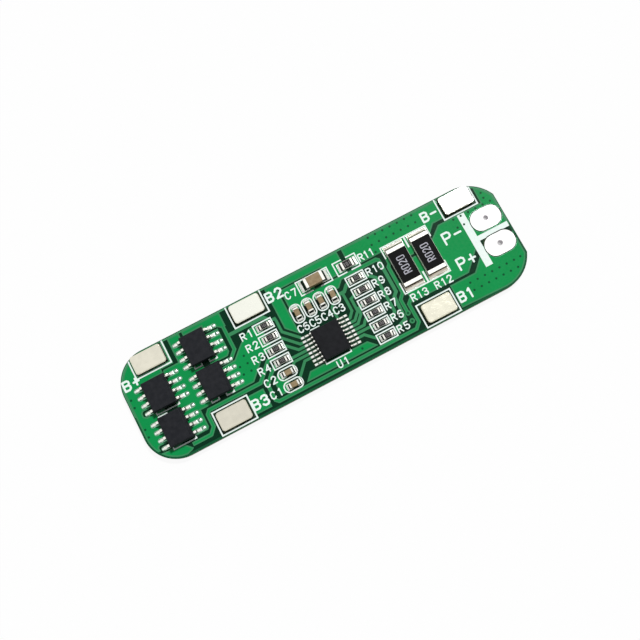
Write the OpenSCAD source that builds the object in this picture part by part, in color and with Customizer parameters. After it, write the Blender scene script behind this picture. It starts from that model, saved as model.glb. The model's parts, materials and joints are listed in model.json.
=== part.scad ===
// Battery management board for a row of four lithium cells: a green printed board with five
// nickel weld tabs, four switching transistors, one protection chip, thirteen resistors, seven
// capacitors and two wire pads. Millimetres. +X runs from the B+ end to the wire pads, +Y to the
// side of the B+ tab, +Z out of the fitted face. The origin is the centre of the underside.

/* [Board] */
// length of the board along X
board_length = 64.5; // [64.5:0.1:66]
// width of the board along Y
board_width = 17.6; // [17.6:0.1:18.6]
// thickness of the glass-epoxy laminate
laminate_t = 1.0; // [0.6:0.1:1.6]
// corner radius at the B+ end
corner_r_left = 5.2; // [4.8:0.1:5.5]
// corner radius at the wire pad end
corner_r_right = 6.1; // [5.7:0.1:6.3]
// how far the right corner arcs are cut off by the straight end
corner_cut = 0.55; // [0.3:0.05:0.7]
// bare border left between the copper and the board edge
edge_border = 0.35; // [0.25:0.05:0.45]

/* [Layers] */
// thickness of each copper layer
copper_t = 0.07; // [0.035:0.005:0.07]
// height of the solder mask over bare laminate
mask_base_t = 0.05; // [0.04:0.01:0.05]
// height of the solder mask over copper, from the laminate
mask_top_t = 0.1; // [0.1:0.01:0.12]
// how much lower the mask lies along a copper edge
mask_edge_drop = 0.01; // [0.005:0.005:0.015]
// width of the lower band along a copper edge
mask_edge_w = 0.16; // [0.1:0.02:0.2]
// thickness of the printed legend
silk_t = 0.025; // [0.02:0.005:0.04]
// thickness of the tinning on a land
tin_t = 0.03; // [0.02:0.005:0.05]
// clear margin between a land and the mask round it
mask_clear = 0.05; // [0.03:0.01:0.08]

/* [Tabs] */
// length of a weld tab along X
tab_length = 5.0; // [4.6:0.1:5.1]
// width of a weld tab along Y
tab_width = 3.0; // [2.6:0.1:3.1]
// thickness of a weld tab
tab_t = 0.8; // [0.5:0.1:1.2]
// corner radius of a weld tab
tab_r = 0.45; // [0.2:0.05:0.8]
// bevel round the top of a weld tab
tab_bevel = 0.15; // [0.05:0.05:0.25]

/* [Transistors] */
// length of a transistor body along Y
fet_length = 4.9; // [4.7:0.1:5]
// width of a transistor body along X
fet_width = 3.9; // [3.8:0.05:4]
// height of a transistor above its lands
fet_height = 1.6; // [1.4:0.05:1.75]
// lead spacing of a transistor
fet_pitch = 1.27; // [1.27:0.01:1.27]
// width over the lead tips of a transistor
fet_span = 6.1; // [5.8:0.05:6.2]
// width of one transistor lead
fet_lead_w = 0.42; // [0.36:0.02:0.5]

/* [Protection chip] */
// length of the chip body along Y
ic_length = 5.0; // [4.9:0.05:5.1]
// width of the chip body along X
ic_width = 4.4; // [4.3:0.05:4.5]
// height of the chip above its lands
ic_height = 1.05; // [0.9:0.05:1.2]
// lead spacing of the chip
ic_pitch = 0.65; // [0.65:0.01:0.65]
// width over the lead tips of the chip
ic_span = 6.4; // [6.2:0.05:6.6]
// width of one chip lead
ic_lead_w = 0.24; // [0.19:0.01:0.3]

/* [Chips] */
// length of a small resistor or capacitor
chip_length = 1.6; // [1.5:0.05:1.7]
// width of a small resistor or capacitor
chip_width = 0.8; // [0.7:0.05:0.9]
// height of a small resistor
chip_r_height = 0.45; // [0.35:0.05:0.55]
// height of a small capacitor
chip_c_height = 0.8; // [0.6:0.05:0.9]
// row spacing of the small resistors
chip_rows = 2.0; // [1.95:0.05:2]
// length of one end cap on a small part
chip_end = 0.3; // [0.2:0.05:0.35]
// height of the large capacitor
big_c_height = 1.25; // [0.85:0.05:1.6]
// length of a shunt resistor along Y
shunt_length = 6.4; // [6.2:0.05:6.5]
// width of a shunt resistor along X
shunt_width = 3.1; // [3:0.05:3.2]
// height of a shunt resistor
shunt_height = 0.6; // [0.5:0.05:0.7]
// length of a shunt end cap
shunt_end = 0.65; // [0.5:0.05:0.8]

/* [Wire pads] */
// length of a wire pad along X
pad_length = 5.2; // [4.8:0.1:5.2]
// width of a wire pad along Y
pad_width = 3.6; // [3.2:0.1:3.7]
// corner radius of a wire pad
pad_r = 1.7; // [1:0.05:1.75]
// diameter of the finished wire hole
hole_d = 0.8; // [0.6:0.05:1]

/* [Show] */
// the node to draw, or all

/* [Hidden] */
$fn = 64;
e = 0.01;

// heights, from the underside up
z_lam = mask_top_t;                    // underside of the laminate
z_cu = z_lam + laminate_t;             // top of the laminate
z_land = z_cu + copper_t;              // top of the copper
z_mask = z_cu + mask_top_t;            // top of the mask
z_seat = z_land + tin_t;               // where the leads and chips stand

// plan positions of the parts, from the board's centre
fet_at = [[-27.2, 1.55], [-27.2, -4.2], [-19.12, 5.08], [-19.12, -0.67]];
ic_at = [-0.79, -3.3];
row_y = 3.35;                          // Y of the first row of small parts
left_x = -8.75;                        // X of the left column of small parts
right_x = 7.12;                        // X of the right column of small parts
cap_x = -3.38;                         // X of the first upright capacitor
cap_y = 2.75;                          // Y of the upright capacitors
cap_step = 2.03;                       // spacing of the upright capacitors
c7_at = [1.2, 6.0];
r11_at = [6.88, 5.93];
shunt_at = [[18.62, 1.7], [14.5, 1.7]];
tab_top_y = 6.92;                      // Y of the three tabs on the +Y side
tab_low_y = -6.62;                     // Y of the two tabs on the -Y side
tab_at = [[-26.5, tab_top_y], [-18.77, tab_low_y], [-9.87, tab_top_y], [15.95, tab_low_y],
          [26.45, tab_top_y]];
pad_x = 29.3;
pad_at = [[pad_x, 2.4], [pad_x, -2.1]];

// left column: R1 R2 R3 R4 C2 C1, right column: R10 R9 R8 R7 R6 R5, top to bottom
function left_at(i) = [left_x, row_y - i * chip_rows];
function right_at(i) = [right_x, row_y - i * chip_rows];
function cap_at(i) = [cap_x + i * cap_step, cap_y];
res_at = concat([for (i = [0:3]) left_at(i)], [for (i = [5:-1:0]) right_at(i)]);
// C1, C2, then C3 to C6 from right to left
cap_pos = concat([left_at(5), left_at(4)], [for (i = [3:-1:0]) cap_at(i)]);

// the two larger chips
r11_length = 2.0;
r11_width = 1.25;
r11_end = 0.38;
c7_length = 3.2;
c7_width = 1.6;
c7_end = 0.5;

// lands: each reaches in under its lead or end cap and out past it
fet_land_w = fet_lead_w + 0.24;
fet_in = fet_span / 2 - 1.5;
fet_out_l = fet_span / 2 + 0.35;       // outer end of a left land
fet_out_r = fet_span / 2 + 0.9;        // outer end of a right land
ic_land_w = ic_lead_w + 0.12;
ic_in = ic_span / 2 - 0.85;
ic_out = ic_span / 2 + 0.75;
chip_in = chip_length / 2 - 0.35;
chip_out = chip_length / 2 + 0.46;
chip_land_w = chip_width + 0.16;
big_in = c7_length / 2 - 0.55;
big_out = c7_length / 2 + 0.8;
big_land_w = c7_width + 0.15;
r11_in = r11_length / 2 - 0.4;
r11_out = r11_length / 2 + 0.58;
r11_land_w = r11_width + 0.15;
shunt_in = shunt_length / 2 - 0.85;
shunt_out = shunt_length / 2 + 0.7;
shunt_land_w = shunt_width + 0.2;
tab_land = 0.1;                        // the land of a tab shows this much all round

// outline helpers: mitred growth of a closed or open run of points
function unit(v) = v / norm(v);
function nrm(a, b) = let (u = unit(b - a)) [-u[1], u[0]];
function mitre(a, b) = (a + b) / (1 + a * b);
function turn(p) = let (n = len(p)) [for (i = 1, s = 0; i <= n; s = s + cross(p[i - 1], p[i % n]),
  i = i + 1) s + cross(p[i - 1], p[i % n])][n - 1] > 0 ? 1 : -1;
function grow(p, d) = let (n = len(p), s = turn(p)) [for (i = [0:n - 1])
  p[i] - s * d * mitre(nrm(p[(i + n - 1) % n], p[i]), nrm(p[i], p[(i + 1) % n]))];
function side(p, d) = let (n = len(p)) [for (i = [0:n - 1]) p[i] + d * (
  i == 0 ? nrm(p[0], p[1]) - unit(p[1] - p[0]) * sign(d)
  : i == n - 1 ? nrm(p[n - 2], p[n - 1]) + unit(p[n - 1] - p[n - 2]) * sign(d)
  : mitre(nrm(p[i - 1], p[i]), nrm(p[i], p[i + 1])))];
function flip(p) = [for (i = [len(p) - 1:-1:0]) p[i]];
function strip(p, w) = concat(side(p, w / 2), flip(side(p, -w / 2)));
function arc(c, r, a0, a1, n) = [for (i = [0:n]) c + r * [cos(a0 + (a1 - a0) * i / n),
  sin(a0 + (a1 - a0) * i / n)]];

module plate(z0, z1) translate([0, 0, z0]) linear_extrude(z1 - z0) children();
module box(at, size, z0, z1) plate(z0, z1) translate(at) square(size, center = true);
module at_each(list) for (p = list) translate(p) children();

// rounded rectangle from squares and circles
module round_rect(size, r) {
  square([size[0] - 2 * r, size[1]], center = true);
  square([size[0], size[1] - 2 * r], center = true);
  for (sx = [-1, 1], sy = [-1, 1])
    translate([sx * (size[0] / 2 - r), sy * (size[1] / 2 - r)]) circle(r);
}
// long round-ended shape along X, from x0 to x1
module slot(x0, x1, w) {
  translate([x0 + w / 2, -w / 2]) square([x1 - x0 - w, w]);
  for (x = [x0 + w / 2, x1 - w / 2]) translate([x, 0]) circle(w / 2);
}

// the board outline, drawn in by d
module outline(d = 0) {
  hx = board_length / 2;
  hy = board_width / 2;
  rl = corner_r_left - d;
  rr = corner_r_right - d;
  xl = -hx + corner_r_left;
  xr = hx + corner_cut - corner_r_right;
  yl = hy - corner_r_left;
  yr = hy - corner_r_right;
  translate([xl, -hy + d]) square([xr - xl, 2 * (hy - d)]);
  translate([-hx + d, -yl]) square([xl + hx - d, 2 * yl]);
  for (s = [-1, 1]) {
    translate([xl, s * yl]) circle(rl);
    intersection() {
      translate([xr, s * yr]) circle(rr);
      translate([xr, -hy]) square([hx - d - xr, board_width]);
    }
  }
  translate([xr - e, -yr]) square([hx - d - xr + e, 2 * yr]);
}

// copper pours, as runs of points from the lower left corner of the copper layout, which stays
// with the parts when the board round it is made larger
layout = [64.5, 17.6];
lower_left = -layout / 2;
b = edge_border;
top_y = layout[1] - b;
right_edge = layout[0] - b;
right_c = layout[0] + corner_cut - corner_r_right;
tl = arc([corner_r_left, layout[1] - corner_r_left], corner_r_left - b, 92, 180, 7);
bl = arc([corner_r_left, corner_r_left], corner_r_left - b, 180, 211, 4);
bl2 = arc([corner_r_left, corner_r_left], corner_r_left - b, 219, 265, 5);
br = arc([right_c, corner_r_right], corner_r_right - b, 272, 334, 7);
tr = arc([right_c, layout[1] - corner_r_right], corner_r_right - b, 26, 56, 4);
// around the gate lands of the left transistors the pour keeps clear
gate_x = 1.32;
pour_b_plus = concat(tl, [[b, 9.1]], bl, [[1.35, 2.65], [gate_x, 3.15], [1.6, 3.4], [4.6, 3.4],
  [4.6, 8.0], [1.75, 8.0], [gate_x, 8.3], [gate_x, 8.85], [1.6, 9.15], [4.6, 9.15], [4.6, 13.0],
  [6.7, 13.0], [6.7, 13.62], [8.75, 13.62], [8.75, top_y]]);
pour_low_left = concat(bl2, [[5.7, b + 0.3], [5.9, 0.8], [5.2, 1.55], [4.6, 2.1], [2.0, 2.1]]);
pour_middle = [[7.1, 2.25], [9.05, 2.25], [9.3, 2.55], [9.3, 5.33], [12.6, 5.33], [12.6, 16.0],
  [11.42, 16.0], [11.42, top_y], [9.58, top_y], [9.58, 13.22], [7.1, 13.22], [6.6, 12.7],
  [6.6, 2.25]];
pour_gate_top = [[12.0, 16.62], [15.1, 16.62], [15.1, 15.45], [17.1, 15.45], [17.68, 15.0],
  [18.3, 15.0], [18.3, top_y], [12.0, top_y]];
pour_source_2 = [[13.8, 10.72], [16.55, 10.72], [17.02, 11.2], [17.02, 15.1], [13.8, 15.1]];
pour_n = [[13.8, 5.33], [18.3, 5.33], [21.3, 8.3], [23.0, 8.3], [23.0, 12.8], [21.2, 12.8],
  [19.3, 11.45], [18.5, 10.75], [17.25, 9.58], [15.3, 9.45], [13.8, 9.45]];
pour_b3 = [[16.3, 0.8], [19.02, 0.8], [19.02, 3.75], [16.3, 3.75]];
pour_b2 = [[26.15, 10.35], [27.75, 8.7], [27.75, 16.2], [35.3, 16.2], [35.3, 13.95],
  [38.58, 13.95], [38.58, top_y], [26.15, top_y]];
pour_supply = [[28.2, 12.15], [35.8, 12.15], [36.3, 12.1], [37.25, 13.05], [43.35, 13.05],
  [43.6, 12.8], [43.95, 12.8], [43.95, 13.2], [43.5, 13.58], [35.0, 13.58], [33.0, 13.58],
  [33.0, 15.86], [28.2, 15.86]];
pour_b_minus = [[39.45, 13.98], [44.75, 13.98], [44.75, 12.3], [47.6, 12.3], [48.2, 11.45],
  [49.0, 11.45], [49.6, 12.3], [52.45, 12.3], [52.45, 12.85], [53.9, 14.28], [56.2, 14.28],
  [56.2, top_y], [39.45, top_y]];
pour_c1c2 = [[21.05, 1.65], [22.9, 1.65], [22.9, 4.6], [21.9, 4.6], [21.05, 3.75]];
pour_ground = [[25.45, 1.58], [37.3, 1.58], [36.2, 2.72], [26.5, 2.72]];
pour_p_minus = concat([[45.2, 4.88], [54.95, 4.88], [57.6, 7.5], [58.6, 8.62],
  [right_edge, 8.62]], tr, [[62.12, 13.6], [54.5, 13.6], [52.42, 11.9],
  [52.42, 7.9], [49.3, 7.9], [49.3, 10.95], [48.4, 10.95], [48.4, 7.9], [45.2, 7.9]]);
pour_p_plus = concat([[51.5, b + 0.25]], br, [[right_edge, 7.4], [59.0, 7.4], [57.7, 6.15],
  [55.85, 4.35], [51.5, 4.35]]);
pours = [pour_b_plus, pour_low_left, pour_middle, pour_gate_top, pour_source_2, pour_n, pour_b3,
  pour_b2, pour_supply, pour_b_minus, pour_c1c2, pour_ground, pour_p_minus, pour_p_plus];

// tracks: each is a width and the points it runs through
ic_x = ic_at[0] - lower_left[0];
ic_y = ic_at[1] - lower_left[1];
function ic_pin_y(i) = ic_y + (3.5 - i) * ic_pitch;
pin_l = ic_x - ic_out + 0.2;
pin_r = ic_x + ic_out - 0.2;
row0 = row_y - lower_left[1];
col_l = left_x - lower_left[0] + 1.0;
col_r = right_x - lower_left[0] - 1.0;
tracks = [
  [0.5, [[6.4, 1.28], [9.15, 1.28], [10.0, 2.2], [10.0, 4.2], [10.45, 4.68], [19.1, 4.68],
    [21.6, 7.15], [22.6, 7.15]]],
  [0.45, [[17.93, 15.2], [17.93, 11.1], [16.95, 10.15], [16.2, 10.1]]],
  [0.42, [[18.1, 13.43], [23.95, 13.43], [24.4, 12.95], [24.4, 12.5]]],
  [0.3, [[col_l, row0 + 0.3], [25.45, row0 + 0.3], [25.5, row0], [25.5, 10.1],
    [27.55, ic_pin_y(0) + 0.25], [pin_l, ic_pin_y(0)]]],
  [0.3, [[col_l, row0 - 2], [25.0, 9.3], [27.1, ic_pin_y(1)], [pin_l, ic_pin_y(1)]]],
  [0.3, [[col_l, row0 - 4], [25.1, 7.85], [26.5, ic_pin_y(2)], [pin_l, ic_pin_y(2)]]],
  [0.3, [[col_l, ic_pin_y(3)], [pin_l, ic_pin_y(3)]]],
  [0.3, [[col_l, row0 - 7.7], [25.0, ic_pin_y(4)], [pin_l, ic_pin_y(4)]]],
  [0.3, [[col_l, row0 - 9.7], [24.9, 2.85], [26.5, ic_pin_y(5)], [pin_l, ic_pin_y(5)]]],
  [0.3, [[pin_r, ic_pin_y(1)], [35.6, ic_pin_y(1)], [36.4, 8.0], [36.4, 10.9]]],
  [0.42, [[35.2, 11.15], [36.75, 11.15], [37.55, 11.95], [col_r, row0]]],
  [0.3, [[pin_r, ic_pin_y(2)], [36.1, ic_pin_y(2)], [37.15, 7.55], [37.15, 9.7],
    [col_r, row0 - 2]]],
  [0.3, [[pin_r, ic_pin_y(3)], [36.3, ic_pin_y(3)], [37.35, 6.9], [37.5, 7.9],
    [col_r, row0 - 4]]],
  [0.3, [[pin_r, ic_pin_y(4)], [37.0, ic_pin_y(4)], [37.6, 5.9], [col_r, row0 - 6]]],
  [0.3, [[pin_r, ic_pin_y(5)], [37.5, ic_pin_y(5)], [col_r, row0 - 8]]],
  [0.3, [[pin_r, ic_pin_y(6)], [36.3, ic_pin_y(6)], [37.5, 2.7], [col_r, row0 - 10]]],
  [0.28, [[33.95, 8.05], [33.95, 9.8], [34.4, 10.4]]],
  [0.45, [[45.1, 5.35], [44.55, 4.85], [44.55, 1.75], [43.75, 0.97], [20.35, 0.97],
    [19.93, 1.4], [19.93, 3.95], [21.35, 5.35], [22.4, 6.0]]],
  [0.42, [[43.75, 12.6], [43.75, 7.5], [43.15, 6.9], [42.95, 3.1], [41.0, 2.3]]],
  [0.45, [[44.95, 12.5], [44.95, 11.85], [44.55, 11.4], [44.55, 6.85], [43.75, 6.05],
    [43.75, 3.7]]],
  [0.36, [[40.5, 12.0], [41.6, 11.3], [42.1, 10.8], [42.1, 4.9], [41.4, 4.2], [40.5, 4.2]]]
];

// vias through the board: the stitching grids of the three heavy pours, then single ones
via_d = 0.3;
via_open = via_d + 0.06;               // dimple in the mask over a via
via_dip = 0.02;                        // and its depth
via_step = 1.275;
grid_b_minus = [for (i = [0:6], j = [0:2]) if (!(j == 0 && i > 0)) [43.95 + i * via_step,
  14.4 + j * via_step]];
grid_p_plus = [for (i = [0:6], j = [0:1]) [54.4 + i * via_step, 2.1 + j * via_step]];
grid_p_minus = concat([for (i = [0:5]) [57.0 + i * 1.3, 13.28]],
  [[56.95, 11.85], [58.1, 11.85], [62.85, 15.05], [62.85, 14.15]]);
grid_n = [for (i = [0:1], j = [0:2]) if (!(j == 2 && i == 0)) [17.45 + i * 1.28,
  7.0 + j * 1.27]];
single_vias = [[0.72, 11.4], [0.72, 10.15], [0.72, 6.5], [0.72, 5.25], [63.2, 3.4],
  [43.75, 3.7], [43.75, 2.35], [35.05, 2.15]];
via_at = concat(grid_b_minus, grid_p_plus, grid_p_minus, grid_n, single_vias);
via_pads = [[43.75, 3.7], [43.75, 2.35]];   // vias with a round land of their own
via_pad_d = 0.7;

// every land, as one flat drawing grown by g
module lands(g = 0) {
  for (p = fet_at, i = [-1.5:1.5]) translate([p[0], p[1] + i * fet_pitch]) {
    slot(-fet_out_l - g, -fet_in + g, fet_land_w + 2 * g);
    slot(fet_in - g, fet_out_r + g, fet_land_w + 2 * g);
  }
  for (i = [-3.5:3.5], s = [-1, 1])
    translate([ic_at[0] + s * (ic_in + ic_out) / 2, ic_at[1] + i * ic_pitch])
      square([ic_out - ic_in + 2 * g, ic_land_w + 2 * g], center = true);
  at_each(concat(res_at, [left_at(4), left_at(5)]))
    pair(chip_in, chip_out, chip_land_w, g);
  at_each([for (i = [0:3]) cap_at(i)]) rotate(90) pair(chip_in, chip_out, chip_land_w, g);
  translate(c7_at) pair(big_in, big_out, big_land_w, g);
  translate(r11_at) pair(r11_in, r11_out, r11_land_w, g);
  at_each(shunt_at) rotate(90) pair(shunt_in, shunt_out, shunt_land_w, g);
  tab_lands(g);
}
module tab_lands(g = 0) intersection() {
  at_each(tab_at)
    square([tab_length + 2 * tab_land + 2 * g, tab_width + 2 * tab_land + 2 * g], center = true);
  outline(0.2 - g);
}
module pair(x0, x1, w, g) for (s = [-1, 1])
  translate([s * (x0 + x1) / 2, 0]) square([x1 - x0 + 2 * g, w + 2 * g], center = true);
module wire_lands(g = 0) at_each(pad_at) round_rect([pad_length, pad_width] + [2 * g, 2 * g],
  pad_r + g);

module pours_flat(d = 0) translate(lower_left) for (p = pours) polygon(grow(p, d));
module tracks_flat(d = 0) translate(lower_left) {
  for (t = tracks) polygon(strip(t[1], t[0] + 2 * d));
  at_each(via_pads) circle(via_pad_d / 2 + d);
}

module laminate() color("#6b7a3a") plate(z_lam, z_cu) difference() {
  outline();
  at_each(pad_at) circle(hole_d / 2);
  translate(lower_left) at_each(via_at) circle(via_d / 2);
}
module vias() color("#b87333") plate(z_lam, z_cu)
  translate(lower_left) at_each(via_at) circle(via_d / 2);

module copper_top() color("#c07a3c") plate(z_cu, z_land) difference() {
  union() {
    pours_flat();
    tracks_flat();
    lands();
    wire_lands();
  }
  at_each(pad_at) circle(hole_d / 2);
}
module bottom_pours(d = 0) {
  outline(edge_border + 0.05 + d);
}
module copper_bottom() color("#c07a3c") plate(z_lam - copper_t, z_lam) difference() {
  bottom_pours();
  bottom_gaps();
  at_each(pad_at) circle(hole_d / 2);
}
// isolation channels of the underside: they run past the board's edge
channel_w = 0.5;
bottom_channels = [
  [[12.5, -1], [12.5, 7.2], [9.5, 10.2], [9.5, 18.6]],
  [[25.0, -1], [25.0, 6.0], [30.0, 11.0], [30.0, 18.6]],
  [[48.5, -1], [48.5, 4.2], [53.0, 8.7], [66.0, 8.7]],
  [[40.5, 18.6], [40.5, 10.4], [44.5, 6.4], [50.6, 6.4]]
];
// the channels widened by g
module bottom_gaps(g = 0) {
  translate(lower_left) for (c = bottom_channels) polygon(strip(c, channel_w + 2 * g));
}
module land_flat(g = 0) {
  lands(g);
  wire_lands(g);
}
module mask_top() color("#128a45") difference() {
  union() {
    plate(z_cu, z_cu + mask_base_t) outline();
    plate(z_cu, z_mask - mask_edge_drop) {
      pours_flat(copper_t);
      tracks_flat(copper_t);
    }
    plate(z_cu, z_mask) {
      pours_flat(-mask_edge_w);
      translate(lower_left) for (t = tracks) if (t[0] > 0.44)
        polygon(strip(t[1], t[0] - 2 * mask_edge_w + 0.04));
    }
  }
  plate(z_cu - e, z_land) {
    pours_flat();
    tracks_flat();
  }
  plate(z_cu - e, z_mask + e) land_flat(mask_clear);
  plate(z_mask - via_dip, z_mask + e) translate(lower_left) at_each(via_at)
    circle(via_open / 2);
}
module mask_bottom() color("#128a45") difference() {
  union() {
    plate(mask_top_t - mask_base_t, z_lam) outline();
    plate(0, z_lam) difference() {
      bottom_pours(-copper_t);
      bottom_gaps(-copper_t);
    }
  }
  plate(z_lam - copper_t, z_lam + e) difference() {
    bottom_pours();
    bottom_gaps();
  }
  plate(-e, z_lam + e) wire_lands(mask_clear);
}

// printed legend: frames round the parts and the bars between the wire pads
line_w = 0.2;
frame_w = 0.23;
tick = 0.3;                            // end strokes of the marks at a body's foot
cap_r = 0.72;                          // corner radius of the frames round the capacitors
bar_at = [57.75, 4.35];                // lower left corner of the bar beside the wire pads
bar_w = 1.2;
bar_l = 9.2;
bar_y = 8.42;                          // lower side of the bar between the wire pads
bar_h = 0.83;
module frame(half, w, r = 0) difference() {
  frame_shape(half + [w, w] / 2, r + w / 2);
  frame_shape(half - [w, w] / 2, max(r - w / 2, 0));
}
module frame_shape(half, r) {
  if (r > 0.2) round_rect(2 * half, r);
  else square(2 * half, center = true);
}
module line(x0, y0, x1, y1, w = line_w)
  translate([min(x0, x1) - w / 2, min(y0, y1) - w / 2])
    square([abs(x1 - x0) + w, abs(y1 - y0) + w]);
module foot_mark(x0, x1, y, tick) {
  line(x0, y, x1, y);
  for (x = [x0, x1]) line(x, y, x, y + tick);
}
module legend() {
  for (p = tab_at) translate(p) {
    hx = tab_length / 2 + 0.4;
    hy = tab_width / 2 + 0.38;
    for (x = [-hx, hx]) line(x, -hy, x, p[1] > 0 ? hy + 1 : hy, frame_w);
    line(-hx, -hy, hx, -hy, frame_w);
    if (p[1] < 0) line(-hx, hy, hx, hy, frame_w);
  }
  fx = fet_width / 2;
  fy = fet_length / 2 + 0.27;
  for (k = [0, 1]) translate(fet_at[k]) foot_mark(0.2 - fx, fx, -fy, tick);
  translate(fet_at[1]) line(0.2 - fx, fy - 0.06, -0.4, fy - 0.06);
  for (k = [2, 3]) translate(fet_at[k]) {
    foot_mark(0.2 - fx, -0.55, -fy, tick);
    foot_mark(0.75, fx, -fy, tick);
  }
  translate(ic_at) {
    ix = ic_width / 2;
    iy = ic_length / 2;
    foot_mark(-ix - 0.05, ix - 0.25, -iy - 0.42, tick);
    line(0.18 - ix, iy + 0.28, -0.6, iy + 0.28, 0.16);
    line(-ix - 0.05, -iy - 0.1, -ix - 0.05, iy + 0.1, 0.08);
  }
  hx = chip_out + 0.24;
  hy = chip_land_w / 2 + 0.27;
  for (i = [0:3]) translate(left_at(i)) translate([-0.12, 0]) frame([hx, hy], line_w);
  for (i = [0:5]) translate(right_at(i)) translate([-0.08, 0]) frame([hx, hy], line_w);
  for (i = [4, 5]) translate(left_at(i)) translate([-0.12, 0]) frame([hx, hy + 0.05], line_w, cap_r);
  for (i = [0:3]) translate(cap_at(i)) translate([-0.03, -0.05])
    frame([hy + 0.09, hx - 0.04], line_w, cap_r);
  translate(c7_at) difference() {
    translate([-0.05, -0.08]) frame([big_out + 0.26, big_land_w / 2 + 0.255], line_w);
    translate([-0.7, -1.5]) square([1.3, 0.6]);
  }
  translate(r11_at) difference() {
    translate([-0.12, 0]) frame([r11_out + 0.32, r11_land_w / 2 + 0.38], line_w);
    translate([-0.5, -1.5]) square([0.75, 3]);
  }
  step = shunt_at[0][0] - shunt_at[1][0];
  sx = shunt_width / 2 + 0.4;
  translate(shunt_at[1]) for (s = [0, 1]) mirror([0, s]) {
    line(-sx, shunt_out + 0.15, step + sx - 0.17, shunt_out + 0.15);
    for (x = [-sx, step / 2, step / 2 + 0.08, step + sx - 0.17])
      line(x, shunt_in - 0.1, x, shunt_out + 0.15);
  }
  translate(lower_left) {
    translate(bar_at) square([bar_w, bar_l]);
    translate([bar_at[0] + bar_w - 0.05, bar_y]) square([right_edge - bar_at[0] - bar_w + 0.05, bar_h]);
  }
}
module silkscreen() color("#eefaf2") plate(z_mask, z_mask + silk_t) difference() {
  intersection() {
    legend();
    outline(0.1);
  }
  land_flat(mask_clear);
  translate(lower_left) at_each(via_at) circle(via_open / 2);
}

// tinning of a wire pad, on the fitted face and on the underside, open over the wire hole
pad_rim = 0.05;                        // thickness of the tinning at the pad's rim
pad_crown = 0.07;                      // and over its middle
pad_step = 0.12;
module wire_pad(i) translate(pad_at[i]) difference() {
  union() {
    plate(z_land, z_land + pad_rim) round_rect([pad_length, pad_width], pad_r);
    plate(z_land, z_land + pad_crown)
      round_rect([pad_length, pad_width] - 2 * [pad_step, pad_step], pad_r - pad_step);
    plate(0, z_lam - copper_t) round_rect([pad_length, pad_width], pad_r);
  }
  plate(-e, z_land + 1) circle(hole_d / 2);
}
module wire_pad_p_minus() color("#e8ecea") wire_pad(0);
module wire_pad_p_plus() color("#e8ecea") wire_pad(1);

// weld tabs on their solder
module tab(i) translate(tab_at[i]) {
  size = [tab_length, tab_width];
  steps = 3;
  plate(z_seat, z_seat + tab_t - tab_bevel) round_rect(size, tab_r);
  for (k = [1:steps]) {
    a = 90 * k / steps;
    d = tab_bevel * (1 - cos(a));
    plate(z_seat + tab_t - tab_bevel - e, z_seat + tab_t - tab_bevel * (1 - sin(a)))
      round_rect(size - 2 * [d, d], tab_r - d);
  }
}
module tab_b_plus() color("#d9d2c0") tab(0);
module tab_b3() color("#d9d2c0") tab(1);
module tab_b2() color("#d9d2c0") tab(2);
module tab_b1() color("#d9d2c0") tab(3);
module tab_b_minus() color("#d9d2c0") tab(4);
module tab_solder() color("#c9ccc8") plate(z_land, z_seat) tab_lands();

// gull-wing lead outlines seen along Y, standing on z = 0
function gull(tip, hip, body, h, t) = [[tip, 0], [tip, t], [hip, t], [hip - 0.12, h],
  [body, h], [body, h - t], [hip - 0.12 - t * 0.8, h - t], [hip - t * 0.9, 0]];
module across_y(w) rotate([90, 0, 0]) translate([0, 0, -w / 2]) linear_extrude(w) children();
module lead_rows(n, pitch, w, profile) for (i = [0:n - 1], s = [0, 1])
  mirror([s, 0, 0]) translate([0, (i - (n - 1) / 2) * pitch, 0]) across_y(w) polygon(profile);

// moulded body: drafted sides above and below a plain band where the leads enter
module moulded(size, z0, z1, zb0, zb1, draft) intersection() {
  hx = size[0] / 2;
  hy = size[1] / 2;
  across_y(size[1] + 1) polygon([[-hx + draft, z0], [hx - draft, z0], [hx, zb0], [hx, zb1],
    [hx - draft, z1], [-hx + draft, z1], [-hx, zb1], [-hx, zb0]]);
  rotate([0, 0, 90]) across_y(size[0] + 1) polygon([[-hy + draft, z0], [hy - draft, z0],
    [hy, zb0], [hy, zb1], [hy - draft, z1], [-hy + draft, z1], [-hy, zb1], [-hy, zb0]]);
}
fet_lead_t = 0.2;
fet_hip = fet_width / 2 + 0.55;
fet_mid = 0.92;
fet_profile = gull(fet_span / 2, fet_hip, fet_width / 2, fet_mid, fet_lead_t);
module transistor(k) color("#1d1d20") translate([fet_at[k][0], fet_at[k][1], z_seat])
  difference() {
    moulded([fet_width, fet_length], 0.12, fet_height, fet_mid - fet_lead_t - 0.02,
      fet_mid + 0.02, 0.14);
    translate([-fet_width / 2 + 0.62, fet_length / 2 - 0.62, fet_height - 0.05])
      cylinder(r = 0.28, h = 1);
  }
module transistor_leads(k) color("#dfe3e2")
  translate([fet_at[k][0], fet_at[k][1], z_seat])
    lead_rows(4, fet_pitch, fet_lead_w, fet_profile);
module transistor_1() transistor(0);
module transistor_2() transistor(1);
module transistor_3() transistor(2);
module transistor_4() transistor(3);
module transistor_1_leads() transistor_leads(0);
module transistor_2_leads() transistor_leads(1);
module transistor_3_leads() transistor_leads(2);
module transistor_4_leads() transistor_leads(3);

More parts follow.
